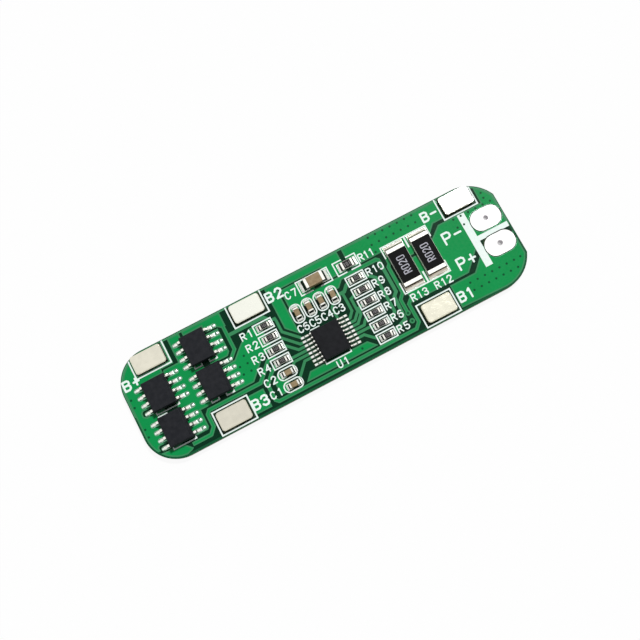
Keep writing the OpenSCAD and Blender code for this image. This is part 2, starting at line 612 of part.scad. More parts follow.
// a low round mound of solder, r across and h high
module mound(r, h) {
  rs = (r * r + h * h) / (2 * h);
  intersection() {
    translate([0, 0, h - rs]) sphere(rs);
    cylinder(r = r + 1, h = h + 1);
  }
}
module transistor_solder() color("#d3d8d6") for (p = fet_at) difference() {
  union() {
    for (i = [-1.5:1.5]) translate([p[0], p[1] + i * fet_pitch, z_land]) {
      linear_extrude(tin_t) {
        slot(-fet_out_l, -fet_in, fet_land_w);
        slot(fet_in, fet_out_r, fet_land_w);
      }
      for (x = [-fet_out_l, fet_out_r]) translate([x - sign(x) * 0.34, 0, 0]) mound(0.32, 0.14);
      for (s = [0, 1]) mirror([s, 0, 0]) translate([0, 0, tin_t - 0.005])
        across_y(fet_lead_w + 0.08) polygon([[fet_span / 2 - 0.45, 0], [fet_span / 2 + 0.2, 0],
          [fet_span / 2 - 0.45, 0.09]]);
    }
  }
  translate([p[0], p[1], z_seat]) lead_rows(4, fet_pitch, fet_lead_w,
    [[fet_span / 2, 0], [fet_span / 2, fet_lead_t + 0.2], [fet_in, fet_lead_t + 0.2],
     [fet_in, 0]]);
}

ic_lead_t = 0.13;
ic_mid = 0.62;
ic_profile = gull(ic_span / 2, ic_width / 2 + 0.42, ic_width / 2, ic_mid, ic_lead_t);
module protection_ic() color("#1c1c1f") translate([ic_at[0], ic_at[1], z_seat]) difference() {
  moulded([ic_width, ic_length], 0.1, ic_height, ic_mid - ic_lead_t - 0.02, ic_mid + 0.02, 0.1);
  translate([-ic_width / 2 + 0.6, ic_length / 2 - 0.6, ic_height - 0.04]) cylinder(r = 0.25, h = 1);
}
module protection_ic_leads() color("#dfe3e2") translate([ic_at[0], ic_at[1], z_seat])
  lead_rows(8, ic_pitch, ic_lead_w, ic_profile);
module protection_ic_solder() color("#d3d8d6") {
  n = 8;
  for (i = [0:n - 1], s = [-1, 1])
    translate([ic_at[0] + s * (ic_in + ic_out) / 2, ic_at[1] + (i - (n - 1) / 2) * ic_pitch, z_land]) {
      linear_extrude(tin_t) square([ic_out - ic_in, ic_land_w], center = true);
      translate([s * 0.5, 0, tin_t - 0.005]) intersection() {
        rotate([90, 0, 0]) cylinder(r = 0.26, h = ic_land_w - 0.06, center = true);
        linear_extrude(0.1) square([0.46, 1], center = true);
      }
    }
}

// a small two-ended part along X: body, end caps and the coat on top
module chip_body(len, end, w, h) plate(z_seat, z_seat + h)
  square([len - 2 * end, w], center = true);
module chip_ends(len, end, w, h) for (s = [-1, 1])
  translate([s * (len - end) / 2, 0]) plate(z_seat, z_seat + h + 0.02) {
    square([end, w - 0.1], center = true);
    square([end - 0.1, w], center = true);
    for (sx = [-1, 1], sy = [-1, 1])
      translate([sx * (end / 2 - 0.05), sy * (w / 2 - 0.05)]) circle(0.05);
  }
module small_resistor(i) color("#e9e6df") translate(res_at[i])
  chip_body(chip_length, chip_end, chip_width, chip_r_height - 0.05);
module resistor_1() small_resistor(0);
module resistor_2() small_resistor(1);
module resistor_3() small_resistor(2);
module resistor_4() small_resistor(3);
module resistor_5() small_resistor(4);
module resistor_6() small_resistor(5);
module resistor_7() small_resistor(6);
module resistor_8() small_resistor(7);
module resistor_9() small_resistor(8);
module resistor_10() small_resistor(9);
module resistor_11() color("#e9e6df") translate(r11_at)
  chip_body(r11_length, r11_end, r11_width, chip_r_height - 0.05);
module resistor_coats() color("#232325") {
  z = z_seat + chip_r_height - 0.05;
  for (p = res_at) box(p, [chip_length - 2 * chip_end, chip_width - 0.06], z, z + 0.05);
  box(r11_at, [r11_length - 2 * r11_end, r11_width - 0.08], z, z + 0.05);
}
module resistor_ends() color("#dfe3e2") at_each(res_at)
  chip_ends(chip_length, chip_end, chip_width, chip_r_height);
module resistor_11_ends() color("#dfe3e2") translate(r11_at)
  chip_ends(r11_length, r11_end, r11_width, chip_r_height);

// shunts lie along Y
module shunt(i) color("#e4e1d8") translate(shunt_at[i]) rotate(90)
  chip_body(shunt_length, shunt_end, shunt_width, shunt_height - 0.06);
module shunt_coat(i) color("#151517") translate(shunt_at[i]) rotate(90)
  plate(z_seat + shunt_height - 0.06, z_seat + shunt_height + 0.03)
    square([shunt_length - 2 * shunt_end, shunt_width - 0.1], center = true);
module shunt_caps(i) color("#dfe3e2") translate(shunt_at[i]) rotate(90)
  chip_ends(shunt_length, shunt_end, shunt_width, shunt_height);
module shunt_12() shunt(0);
module shunt_13() shunt(1);
module shunt_12_coat() shunt_coat(0);
module shunt_13_coat() shunt_coat(1);
module shunt_12_ends() shunt_caps(0);
module shunt_13_ends() shunt_caps(1);

module small_capacitor(i) color("#b39a78") translate(cap_pos[i]) rotate(i < 2 ? 0 : 90)
  chip_body(chip_length, chip_end, chip_width, chip_c_height);
module capacitor_1() small_capacitor(0);
module capacitor_2() small_capacitor(1);
module capacitor_3() small_capacitor(2);
module capacitor_4() small_capacitor(3);
module capacitor_5() small_capacitor(4);
module capacitor_6() small_capacitor(5);
module capacitor_7() color("#9c7f5c") translate(c7_at)
  chip_body(c7_length, c7_end, c7_width, big_c_height);
module capacitor_ends() color("#dfe3e2") for (i = [0:5]) translate(cap_pos[i])
  rotate(i < 2 ? 0 : 90) chip_ends(chip_length, chip_end, chip_width, chip_c_height);
module capacitor_7_ends() color("#dfe3e2") translate(c7_at)
  chip_ends(c7_length, c7_end, c7_width, big_c_height);

// tinning of a pair of lands with a sloped fillet up each end cap
module fillet_pair(x0, x1, w, len, cw, rise) {
  for (s = [0, 1]) mirror([s, 0, 0]) translate([0, 0, z_land]) {
    translate([x0, -w / 2, 0]) cube([x1 - x0, w, tin_t]);
    translate([0, 0, tin_t - 0.005]) across_y(cw) polygon([[len / 2, 0], [x1 - 0.06, 0],
      [x1 - 0.1, 0.04], [(len / 2 + x1) / 2 - 0.04, rise * 0.3], [len / 2, rise]]);
  }
}
module chip_solder() color("#d3d8d6") {
  at_each(concat(res_at, [left_at(4), left_at(5)]))
    fillet_pair(chip_in, chip_out, chip_land_w, chip_length, chip_width, 0.26);
  at_each([for (i = [0:3]) cap_at(i)]) rotate(90)
    fillet_pair(chip_in, chip_out, chip_land_w, chip_length, chip_width, 0.34);
  translate(c7_at) fillet_pair(big_in, big_out, big_land_w, c7_length, c7_width, 0.6);
  translate(r11_at) fillet_pair(r11_in, r11_out, r11_land_w, r11_length, r11_width, 0.28);
}
module shunt_solder() color("#d3d8d6") at_each(shunt_at) rotate(90)
  fillet_pair(shunt_in, shunt_out, shunt_land_w, shunt_length, shunt_width, 0.42);

laminate();
copper_top();
copper_bottom();
mask_top();
mask_bottom();
silkscreen();
vias();
wire_pad_p_minus();
wire_pad_p_plus();
tab_b_plus();
tab_b3();
tab_b2();
tab_b1();
tab_b_minus();
tab_solder();
transistor_1();
transistor_2();
transistor_3();
transistor_4();
transistor_1_leads();
transistor_2_leads();
transistor_3_leads();
transistor_4_leads();
transistor_solder();
protection_ic();
protection_ic_leads();
protection_ic_solder();
resistor_1();
resistor_2();
resistor_3();
resistor_4();
resistor_5();
resistor_6();
resistor_7();
resistor_8();
resistor_9();
resistor_10();
resistor_11();
resistor_coats();
resistor_ends();
resistor_11_ends();
shunt_12();
shunt_13();
shunt_12_coat();
shunt_13_coat();
shunt_12_ends();
shunt_13_ends();
capacitor_1();
capacitor_2();
capacitor_3();
capacitor_4();
capacitor_5();
capacitor_6();
capacitor_7();
capacitor_ends();
capacitor_7_ends();
chip_solder();
shunt_solder();
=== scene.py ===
"""Looks of a battery management board: its finishes, its softened moulded and plated parts, and its printed legend.

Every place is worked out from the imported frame. Lengths are metres, and MM turns millimetres into them.
"""

import json
import math

import bmesh
import bpy
from mathutils import Matrix, Vector


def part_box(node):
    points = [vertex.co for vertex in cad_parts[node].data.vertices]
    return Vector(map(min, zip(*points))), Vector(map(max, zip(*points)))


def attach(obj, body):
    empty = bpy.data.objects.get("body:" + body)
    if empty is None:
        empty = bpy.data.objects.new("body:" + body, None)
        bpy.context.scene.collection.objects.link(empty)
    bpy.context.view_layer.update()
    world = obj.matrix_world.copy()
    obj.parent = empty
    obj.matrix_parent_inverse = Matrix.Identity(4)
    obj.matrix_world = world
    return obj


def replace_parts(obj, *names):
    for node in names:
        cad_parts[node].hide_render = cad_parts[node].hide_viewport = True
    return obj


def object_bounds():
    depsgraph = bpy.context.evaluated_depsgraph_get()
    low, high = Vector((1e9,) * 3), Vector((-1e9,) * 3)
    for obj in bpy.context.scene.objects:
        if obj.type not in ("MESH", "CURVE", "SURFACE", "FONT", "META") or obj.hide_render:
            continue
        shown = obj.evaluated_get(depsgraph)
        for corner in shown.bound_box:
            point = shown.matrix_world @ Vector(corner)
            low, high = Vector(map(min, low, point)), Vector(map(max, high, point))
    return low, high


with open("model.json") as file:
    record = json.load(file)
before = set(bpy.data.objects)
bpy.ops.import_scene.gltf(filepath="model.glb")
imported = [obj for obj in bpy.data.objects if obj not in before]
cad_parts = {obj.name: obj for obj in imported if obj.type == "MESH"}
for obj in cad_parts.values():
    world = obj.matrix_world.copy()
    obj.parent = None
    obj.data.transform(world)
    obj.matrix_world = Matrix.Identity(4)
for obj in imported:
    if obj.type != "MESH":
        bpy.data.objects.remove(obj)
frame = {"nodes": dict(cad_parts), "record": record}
cad_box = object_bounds()
record = frame["record"]
slot_of = {part["node"]: part["material_slot"] for part in record["subparts"]}
wire_holes = [mount for mount in record["mounts"] if mount["kind"] == "bore"]

MM = 0.001
BODY = "root"
WHITE = (1.0, 1.0, 1.0, 1.0)

# Heights that the finishes change at: the top of the mask, the underside of the fitted face's copper, the rim of
# a wire pad under its domed crown, and the foot of a solder fillet.
MASK_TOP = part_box("mask_top")[1].z
COPPER_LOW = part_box("copper_top")[0].z
PAD_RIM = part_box("wire_pad_p_plus")[1].z - 0.01 * MM
FILLET_FOOT = MASK_TOP + 0.004 * MM


# ---------------------------------------------------------------- colours and node helpers

def shade(red, green, blue):
    """A screen colour, 0 to 255 a channel, as the linear colour that a socket takes."""
    linear = []
    for channel in (red, green, blue):
        level = channel / 255
        linear.append(level / 12.92 if level <= 0.04045 else ((level + 0.055) / 1.055) ** 2.4)
    return (*linear, 1.0)


def darker(colour, share):
    """That share of the colour's light."""
    return (*(share * channel for channel in colour[:3]), 1.0)


def add(tree, kind, **inputs):
    """A shader node of that kind. Names in capitals first are its sockets, and the rest are its settings."""
    node = tree.nodes.new("ShaderNode" + kind)
    for name, value in inputs.items():
        if name[0].isupper():
            node.inputs[name.replace("_", " ")].default_value = value
        else:
            setattr(node, name, value)
    return node


def join(tree, output, target):
    tree.links.new(output, target)


def feed(tree, value, socket):
    """The socket set to a number or colour, or joined to an output."""
    if isinstance(value, (int, float, tuple)):
        socket.default_value = value
    else:
        join(tree, value, socket)


def calc(tree, operation, first, second=None):
    """A Math node over outputs or numbers, and its output."""
    node = add(tree, "Math", operation=operation)
    feed(tree, first, node.inputs[0])
    if second is not None:
        feed(tree, second, node.inputs[1])
    return node.outputs["Value"]


def spread(tree, value, low, high, to_low=0.0, to_high=1.0):
    """The value, taken from low..high to to_low..to_high and held there."""
    node = add(tree, "MapRange", clamp=True)
    for socket, number in zip(("Value", "From Min", "From Max", "To Min", "To Max"),
                              (value, low, high, to_low, to_high)):
        feed(tree, number, node.inputs[socket])
    return node.outputs["Result"]


def noise(tree, place, scale, detail=2.0, roughness=0.5):
    """A Noise Texture's Fac at that place. The scale is a number or an output."""
    node = add(tree, "TexNoise", Detail=detail, Roughness=roughness)
    join(tree, place, node.inputs["Vector"])
    feed(tree, scale, node.inputs["Scale"])
    return node.outputs["Fac"]


def blend_colours(tree, share, first, second, kind="MIX"):
    """Two colours mixed by the share."""
    node = add(tree, "Mix", data_type="RGBA", blend_type=kind)
    for value, socket in ((share, node.inputs[0]), (first, node.inputs[6]), (second, node.inputs[7])):
        feed(tree, value, socket)
    return node.outputs[2]


def blend_shaders(tree, share, first, second):
    """Two shaders mixed by the share."""
    node = add(tree, "MixShader")
    for output, socket in zip((share, first, second), node.inputs):
        join(tree, output, socket)
    return node.outputs["Shader"]


def stretched(tree, place, scale):
    """The place with each axis scaled, which draws a pattern out along the small ones."""
    node = add(tree, "Mapping", Scale=scale)
    join(tree, place, node.inputs["Vector"])
    return node.outputs["Vector"]


def split(tree, vector):
    """The vector's X, Y and Z as outputs."""
    node = add(tree, "SeparateXYZ")
    join(tree, vector, node.inputs["Vector"])
    return node.outputs


# ---------------------------------------------------------------- effects shared by the finishes

def new_group(name, inputs, outputs):
    """An empty node group with those sockets, and its input and output nodes."""
    group = bpy.data.node_groups.new(name, "ShaderNodeTree")
    for kind, sockets in (("INPUT", inputs), ("OUTPUT", outputs)):
        for socket_name, socket_type in sockets:
            group.interface.new_socket(socket_name, in_out=kind, socket_type="NodeSocket" + socket_type)
    return group, group.nodes.new("NodeGroupInput").outputs, group.nodes.new("NodeGroupOutput").inputs


def make_mottle():
    """Soft patches of a second colour with a fine grain over them, as on moulded, fired and printed surfaces."""
    group, given, out = new_group(
        "mottle",
        [("Vector", "Vector"), ("Colour", "Color"), ("Patch Colour", "Color"), ("Patch Scale", "Float"),
         ("Grain Scale", "Float"), ("Smoothest", "Float"), ("Roughest", "Float")],
        [("Color", "Color"), ("Roughness", "Float"), ("Height", "Float")])
    patches = noise(group, given["Vector"], given["Patch Scale"], detail=3.0)
    grain = noise(group, given["Vector"], given["Grain Scale"], detail=4.0, roughness=0.6)
    both = calc(group, "ADD", calc(group, "MULTIPLY", patches, 0.6), calc(group, "MULTIPLY", grain, 0.4))
    patchy = spread(group, both, 0.38, 0.62)
    join(group, blend_colours(group, patchy, given["Colour"], given["Patch Colour"]), out["Color"])
    join(group, spread(group, grain, 0.3, 0.7, given["Smoothest"], given["Roughest"]), out["Roughness"])
    join(group, grain, out["Height"])
    return group


def make_bloom_and_shade_group():
    """The cloudy bloom of tin and nickel: bright metal, dull patches and specks of dross, with steep sides and slopes
    in colours of their own, which most finishes set darker as painted shade and painted reflection of the green board.

    A face counts as level where its normal's Z passes Level From, and as a steep side below Side Up To. Between
    them lie the slopes, with a colour of their own where they face along Y."""
    group, given, out = new_group(
        "tin_bloom_and_painted_shade",
        [("Vector", "Vector"), ("Colour", "Color"), ("Dull Colour", "Color"), ("Bloom Scale", "Float"),
         ("Speck Scale", "Float"), ("Smoothest", "Float"), ("Roughest", "Float"), ("Slope Colour", "Color"),
         ("Flank Colour", "Color"), ("Side Colour", "Color"), ("Side Up To", "Float"), ("Level From", "Float")],
        [("Color", "Color"), ("Roughness", "Float"), ("Height", "Float")])
    facing = split(group, add(group, "NewGeometry").outputs["Normal"])
    upright = calc(group, "ABSOLUTE", facing["Z"])
    level = spread(group, upright, given["Level From"], calc(group, "ADD", given["Level From"], 0.06))
    sloped = spread(group, upright, calc(group, "SUBTRACT", given["Side Up To"], 0.12), given["Side Up To"])
    flank = spread(group, calc(group, "ABSOLUTE", facing["Y"]), 0.25, 0.5)
    bloom = noise(group, given["Vector"], given["Bloom Scale"], detail=4.0, roughness=0.55)
    specks = noise(group, given["Vector"], given["Speck Scale"], detail=2.0, roughness=0.7)
    clouded = spread(group, bloom, 0.42, 0.7)
    specked = spread(group, specks, 0.62, 0.74)
    dull = calc(group, "MAXIMUM", clouded, calc(group, "MULTIPLY", specked, 0.7))
    slope = blend_colours(group, flank, given["Slope Colour"], given["Flank Colour"])
    side = blend_colours(group, sloped, given["Side Colour"], slope)
    flat = blend_colours(group, dull, given["Colour"], given["Dull Colour"])
    join(group, blend_colours(group, level, side, flat), out["Color"])
    join(group, spread(group, dull, 0.0, 1.0, given["Smoothest"], given["Roughest"]), out["Roughness"])
    join(group, calc(group, "ADD", bloom, calc(group, "MULTIPLY", specks, 0.3)), out["Height"])
    return group


MOTTLE = make_mottle()
TIN_BLOOM_AND_PAINTED_SHADE = make_bloom_and_shade_group()


def new_finish(name, **sockets):
    """A material with a Principled BSDF. The sockets are its uniform numbers."""
    material = bpy.data.materials.new(name)
    material.use_nodes = True
    tree = material.node_tree
    tree.nodes.clear()
    shader = add(tree, "BsdfPrincipled", **sockets)
    join(tree, shader.outputs["BSDF"], add(tree, "OutputMaterial").inputs["Surface"])
    return material, tree, shader, add(tree, "TexCoord").outputs["Object"]


def use_group(tree, group, place, **inputs):
    """The group's node in that tree, with its values set."""
    node = add(tree, "Group", node_tree=group, **inputs)
    join(tree, place, node.inputs["Vector"])
    return node


def raise_bumps(tree, shader, height, depth):
    """Bumps of that depth, in metres, over the surface."""
    bump = add(tree, "Bump", Strength=1.0, Distance=depth)
    join(tree, height, bump.inputs["Height"])
    join(tree, bump.outputs["Normal"], shader.inputs["Normal"])


def patterned(name, group, colours, scales, roughness, depth, drawn=None, more=(), **sockets):
    """A finish that one shared effect drives.

    It has two colours, two pattern scales per metre, the smoothest and roughest values, and bumps of that depth in
    millimetres. A drawn finish has its pattern pulled out along the small axes. More is what else the effect takes."""
    material, tree, shader, place = new_finish(name, **sockets)
    node = use_group(tree, group, stretched(tree, place, drawn) if drawn else place)
    for socket, value in zip(list(node.inputs)[1:], (*colours, *scales, *roughness, *more)):
        socket.default_value = value
    join(tree, node.outputs["Color"], shader.inputs["Base Color"])
    join(tree, node.outputs["Roughness"], shader.inputs["Roughness"])
    raise_bumps(tree, shader, node.outputs["Height"], depth * MM)
    return material


def metal(name, colours, scales, roughness, depth, sides, drawn=None):
    """Tin or solder. The sides are the colours of the slopes along X, of those along Y and of the steep sides, and
    how upright a slope and a level face are."""
    return patterned(name, TIN_BLOOM_AND_PAINTED_SHADE, colours, scales, roughness, depth, drawn, sides, Metallic=1.0)


def matt(name, colours, scales, roughness, depth, gloss):
    """A moulded, fired or printed surface."""
    return patterned(name, MOTTLE, colours, scales, roughness, depth, Specular_IOR_Level=gloss)


def banded(finish, low, high, colour):
    """The same finish, with that colour wherever the surface lies between those two heights."""
    tree = finish.node_tree
    shader = next(node for node in tree.nodes if node.bl_idname == "ShaderNodeBsdfPrincipled")
    plain = shader.inputs["Base Color"].links[0].from_socket
    height = split(tree, add(tree, "TexCoord").outputs["Object"])["Z"]
    inside = calc(tree, "MULTIPLY", calc(tree, "GREATER_THAN", height, low), calc(tree, "LESS_THAN", height, high))
    join(tree, blend_colours(tree, inside, plain, colour), shader.inputs["Base Color"])
    return finish


# ---------------------------------------------------------------- solder mask

# How far the mask sinks from a copper field to bare laminate, and its colours at each share of that height.
MASK_SINK = 0.05 * MM
MASK_BARE = shade(2, 46, 27)
MASK_DIMPLE = shade(7, 84, 48)
MASK_EDGE = shade(62, 142, 94)
MASK_POUR = shade(16, 149, 78)
BARE_UP_TO = 0.45
MASK_BANDS = ((0.1, MASK_BARE), (BARE_UP_TO, MASK_BARE), (0.5, MASK_DIMPLE), (0.64, MASK_DIMPLE),
              (0.72, MASK_EDGE), (0.86, MASK_EDGE), (1.0, MASK_POUR))
# The strip round the board's edge: dark along its line and on the -Y half, pale on the +Y half. The pale +Y half is a
# painted highlight along the edge that faces the lamp.
RIM_DARK, RIM_PAINTED_HIGHLIGHT = shade(22, 88, 54), shade(84, 158, 112)
RIM_WIDTH = 0.36 * MM
RIM_LINE = 0.13 * MM
# The outline's corners, as the sign of X, the radius and the X of the centre. The right arcs run on past the edge.
LEFT_RADIUS, RIGHT_RADIUS, RIGHT_RUN_ON = 5.2 * MM, 6.1 * MM, 0.55 * MM
CORNERS = ((-1, LEFT_RADIUS, cad_box[0][0] + LEFT_RADIUS),
           (1, RIGHT_RADIUS, cad_box[1][0] + RIGHT_RUN_ON - RIGHT_RADIUS))
CLOTH_SCALE = 1300.0
CLOTH_SHOWS = 0.35


def near_outline(tree, axes, width):
    """1 on the strip of that width round the board's edge, and 0 inside it."""
    far_x, far_y, _ = cad_box[1]
    across_board = calc(tree, "ABSOLUTE", axes["Y"])
    strips = [calc(tree, "GREATER_THAN", calc(tree, "ABSOLUTE", axes["X"]), far_x - width),
              calc(tree, "GREATER_THAN", across_board, far_y - width)]
    for way, radius, centre in CORNERS:
        along = calc(tree, "MAXIMUM", calc(tree, "MULTIPLY", calc(tree, "SUBTRACT", axes["X"], centre), way), 0.0)
        across = calc(tree, "MAXIMUM", calc(tree, "SUBTRACT", across_board, far_y - radius), 0.0)
        reach = calc(tree, "SQRT", calc(tree, "ADD", calc(tree, "MULTIPLY", along, along),
                                        calc(tree, "MULTIPLY", across, across)))
        strips.append(calc(tree, "GREATER_THAN", reach, radius - width))
    found = strips[0]
    for strip in strips[1:]:
        found = calc(tree, "MAXIMUM", found, strip)
    return found


def mask_level(tree, height):
    """How high the mask stands on either face: 0 over bare laminate and 1 over a copper field."""
    low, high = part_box("mask_bottom")[0].z, MASK_TOP
    middle = (low + high) / 2
    away = calc(tree, "ABSOLUTE", calc(tree, "SUBTRACT", height, middle))
    return spread(tree, away, high - middle - MASK_SINK, high - middle)


def mask_bands(tree, level):
    """The mask's colour at that level."""
    ramp = add(tree, "ValToRGB")
    bands = ramp.color_ramp.elements
    for band, (position, colour) in zip((bands[0], bands[1]), (MASK_BANDS[0], MASK_BANDS[-1])):
        band.position, band.color = position, colour
    for position, colour in MASK_BANDS[1:-1]:
        bands.new(position).color = colour
    join(tree, level, ramp.inputs["Fac"])
    return ramp.outputs["Color"]


def cloth(tree, place):
    """The threads of the glass cloth, both ways."""
    ways = []
    for way in ("X", "Y"):
        threads = add(tree, "TexWave", wave_type="BANDS", bands_direction=way, Scale=CLOTH_SCALE, Distortion=1.2,
                      Detail=1.0)
        join(tree, place, threads.inputs["Vector"])
        ways.append(threads.outputs["Fac"])
    return calc(tree, "MULTIPLY", *ways)


def solder_mask_finish():
    """Green mask: bright over the copper fields, paler where it thins at their edges and over tracks, dark between,
    with a painted highlight on the +Y half of the strip round the edge.
    """
    material, tree, shader, place = new_finish("green_solder_mask", Specular_IOR_Level=0.06)
    axes = split(tree, place)
    level = mask_level(tree, axes["Z"])
    # The edge strip is pale on its +Y half: a painted highlight.
    strip = blend_colours(tree, calc(tree, "GREATER_THAN", axes["Y"], 0.0), RIM_DARK, RIM_PAINTED_HIGHLIGHT)
    strip = blend_colours(tree, near_outline(tree, axes, RIM_LINE), strip, RIM_DARK)
    on_rim = calc(tree, "MULTIPLY", near_outline(tree, axes, RIM_WIDTH),
                  calc(tree, "LESS_THAN", level, BARE_UP_TO))
    green = blend_colours(tree, on_rim, mask_bands(tree, level), strip)
    clouds = blend_colours(tree, spread(tree, noise(tree, place, 160.0, detail=3.0), 0.3, 0.7),
                           shade(236, 240, 236), WHITE)
    clouded = blend_colours(tree, 1.0, green, clouds, "MULTIPLY")
    bare = calc(tree, "SUBTRACT", 1.0, level)
    woven = calc(tree, "MULTIPLY", calc(tree, "MULTIPLY", cloth(tree, place), bare), CLOTH_SHOWS)
    join(tree, blend_colours(tree, woven, clouded, shade(10, 66, 42)), shader.inputs["Base Color"])
    film = noise(tree, place, 2500.0, detail=3.0)
    join(tree, spread(tree, film, 0.3, 0.7, 0.2, 0.34), shader.inputs["Roughness"])
    raise_bumps(tree, shader, film, 0.004 * MM)
    return material


# ---------------------------------------------------------------- laminate and nickel

def laminate_finish():
    """Glass-epoxy: straw green, with the cloth's layers showing as pale lines round the cut edge."""
    material, tree, shader, place = new_finish("glass_epoxy", Specular_IOR_Level=0.35)
    layers = noise(tree, stretched(tree, place, (260.0, 260.0, 9000.0)), 1.0, detail=3.0, roughness=0.6)
    bundles = noise(tree, stretched(tree, place, (2600.0, 2600.0, 6000.0)), 1.0, detail=2.0)
    both = calc(tree, "ADD", calc(tree, "MULTIPLY", layers, 0.7), calc(tree, "MULTIPLY", bundles, 0.3))
    fibre = spread(tree, both, 0.4, 0.62)
    join(tree, blend_colours(tree, fibre, shade(44, 70, 36), shade(112, 124, 74)), shader.inputs["Base Color"])
    join(tree, spread(tree, bundles, 0.3, 0.7, 0.55, 0.8), shader.inputs["Roughness"])
    raise_bumps(tree, shader, fibre, 0.02 * MM)
    return material


def nickel_finish(name, tone):
    """Rolled nickel strip: faint lines along its length, cloudy dull patches, and small pits. Its steep sides are
    dark: painted shade.
    """
    material, tree, shader, place = new_finish(name, Metallic=1.0)
    bloom = use_group(tree, TIN_BLOOM_AND_PAINTED_SHADE, place, Colour=tone, Dull_Colour=darker(tone, 0.86), Bloom_Scale=900.0,
                      Speck_Scale=5200.0, Smoothest=0.1, Roughest=0.18, Slope_Colour=shade(238, 234, 196),
                      Flank_Colour=shade(238, 234, 190), Side_Colour=shade(44, 46, 38), Side_Up_To=0.84,
                      Level_From=0.93)
    lines = noise(tree, stretched(tree, place, (500.0, 16000.0, 500.0)), 1.0, detail=3.0, roughness=0.7)
    scored = spread(tree, lines, 0.5, 0.72, 0.0, 0.35)
    rubbed = spread(tree, lines, 0.3, 0.7, 0.0, 0.06)
    join(tree, blend_colours(tree, scored, bloom.outputs["Color"], darker(tone, 0.7)), shader.inputs["Base Color"])
    join(tree, calc(tree, "ADD", bloom.outputs["Roughness"], rubbed), shader.inputs["Roughness"])
    raise_bumps(tree, shader, calc(tree, "ADD", lines, bloom.outputs["Height"]), 0.008 * MM)
    return material


# ---------------------------------------------------------------- finishes

# Greyer slopes and near-black steep sides for tinned copper, solder and lead plating, picked by which way a face
# turns: painted shade.
PAINTED_SHADE_SIDES = (shade(196, 198, 190), shade(150, 154, 146), shade(16, 21, 17), 0.6, 0.88)
# Pale green on the exposed lands and at the foot of the lead fillets, below the mask's top: a painted reflection of
# the green mask.
LAND_GREEN_REFLECTION = shade(112, 164, 134)

# One finish for each material slot of the record but nickel, whose pieces have their own.
FINISHES = {
    "glass_epoxy": laminate_finish(),
    "solder_mask": solder_mask_finish(),
    "copper": banded(
        metal("hot_tinned_copper", (shade(240, 240, 234), shade(190, 190, 182)), scales=(1600.0, 7000.0),
              roughness=(0.2, 0.4), depth=0.01, sides=PAINTED_SHADE_SIDES),
        COPPER_LOW, MASK_TOP, LAND_GREEN_REFLECTION),
    "legend_ink": matt("legend_ink", (shade(246, 254, 251), shade(234, 249, 243)), scales=(3000.0, 16000.0),
                       roughness=(0.55, 0.75), depth=0.004, gloss=0.1),
    "tinned_copper": banded(
        metal("tinned_wire_pad", (shade(252, 252, 249), shade(240, 241, 237)), scales=(700.0, 3600.0),
              roughness=(0.1, 0.22), depth=0.015,
              sides=(shade(214, 216, 212), shade(200, 202, 198), shade(90, 96, 92), 0.3, 0.6)),
        # A dark ring round the pad's rim, under its crown: painted shade.
        COPPER_LOW, PAD_RIM, shade(36, 50, 42)),
    "solder": banded(
        metal("solder_fillet", (shade(244, 244, 240), shade(176, 177, 168)), scales=(1800.0, 8000.0),
              roughness=(0.12, 0.34), depth=0.03, sides=PAINTED_SHADE_SIDES),
        # Grey-green at the foot of the fillets: a painted reflection of the green mask.
        COPPER_LOW, FILLET_FOOT, shade(118, 132, 122)),
    "tin_plate": metal("tin_plate", (shade(248, 246, 238), shade(216, 214, 204)), scales=(2200.0, 9000.0),
                       roughness=(0.14, 0.26), depth=0.01, sides=PAINTED_SHADE_SIDES),
    "moulded_epoxy": matt("moulded_epoxy", (shade(24, 26, 30), shade(36, 37, 41)), scales=(1500.0, 14000.0),
                          roughness=(0.42, 0.62), depth=0.015, gloss=0.08),
    "resistor_glaze": matt("resistor_glaze", (shade(28, 27, 27), shade(40, 39, 38)), scales=(2600.0, 16000.0),
                           roughness=(0.3, 0.45), depth=0.006, gloss=0.08),
    "alumina": matt("fired_alumina", (shade(244, 246, 236), shade(230, 232, 220)), scales=(3000.0, 15000.0),
                    roughness=(0.5, 0.7), depth=0.01, gloss=0.3),
    "capacitor_ceramic": matt("capacitor_ceramic", (shade(158, 140, 108), shade(138, 118, 88)),
                              scales=(2400.0, 15000.0), roughness=(0.4, 0.58), depth=0.01, gloss=0.15),
}

# The lead fillets' greenish tint, their dark green flanks along Y and near-black steep sides are painted shade and
# painted reflection of the green board.
LEAD_SOLDER = banded(
    metal("lead_solder", (shade(240, 246, 240), shade(206, 220, 208)), scales=(1800.0, 8000.0),
          roughness=(0.12, 0.34), depth=0.03,
          sides=(shade(222, 238, 226), shade(66, 96, 76), shade(18, 26, 20), 0.6, 0.9)),
    COPPER_LOW, FILLET_FOOT, LAND_GREEN_REFLECTION)
# The solder film round each tab is near black: painted shade beside the tab.
TAB_FILM_AS_SHADE = metal("tab_solder_film_painted_shade", (shade(34, 46, 37), shade(22, 30, 24)), scales=(1800.0, 8000.0),
                 roughness=(0.3, 0.5), depth=0.01,
                 sides=(shade(30, 40, 32), shade(30, 40, 32), shade(16, 21, 17), 0.6, 0.88))
# The chip fillets' grey slopes and near-black steep sides: painted shade.
CHIP_SOLDER = metal("chip_fillet", (shade(238, 240, 234), shade(186, 190, 178)), scales=(1800.0, 8000.0),
                    roughness=(0.12, 0.34), depth=0.03,
                    sides=(shade(120, 128, 116), shade(120, 128, 116), shade(38, 52, 42), 0.86, 0.87))
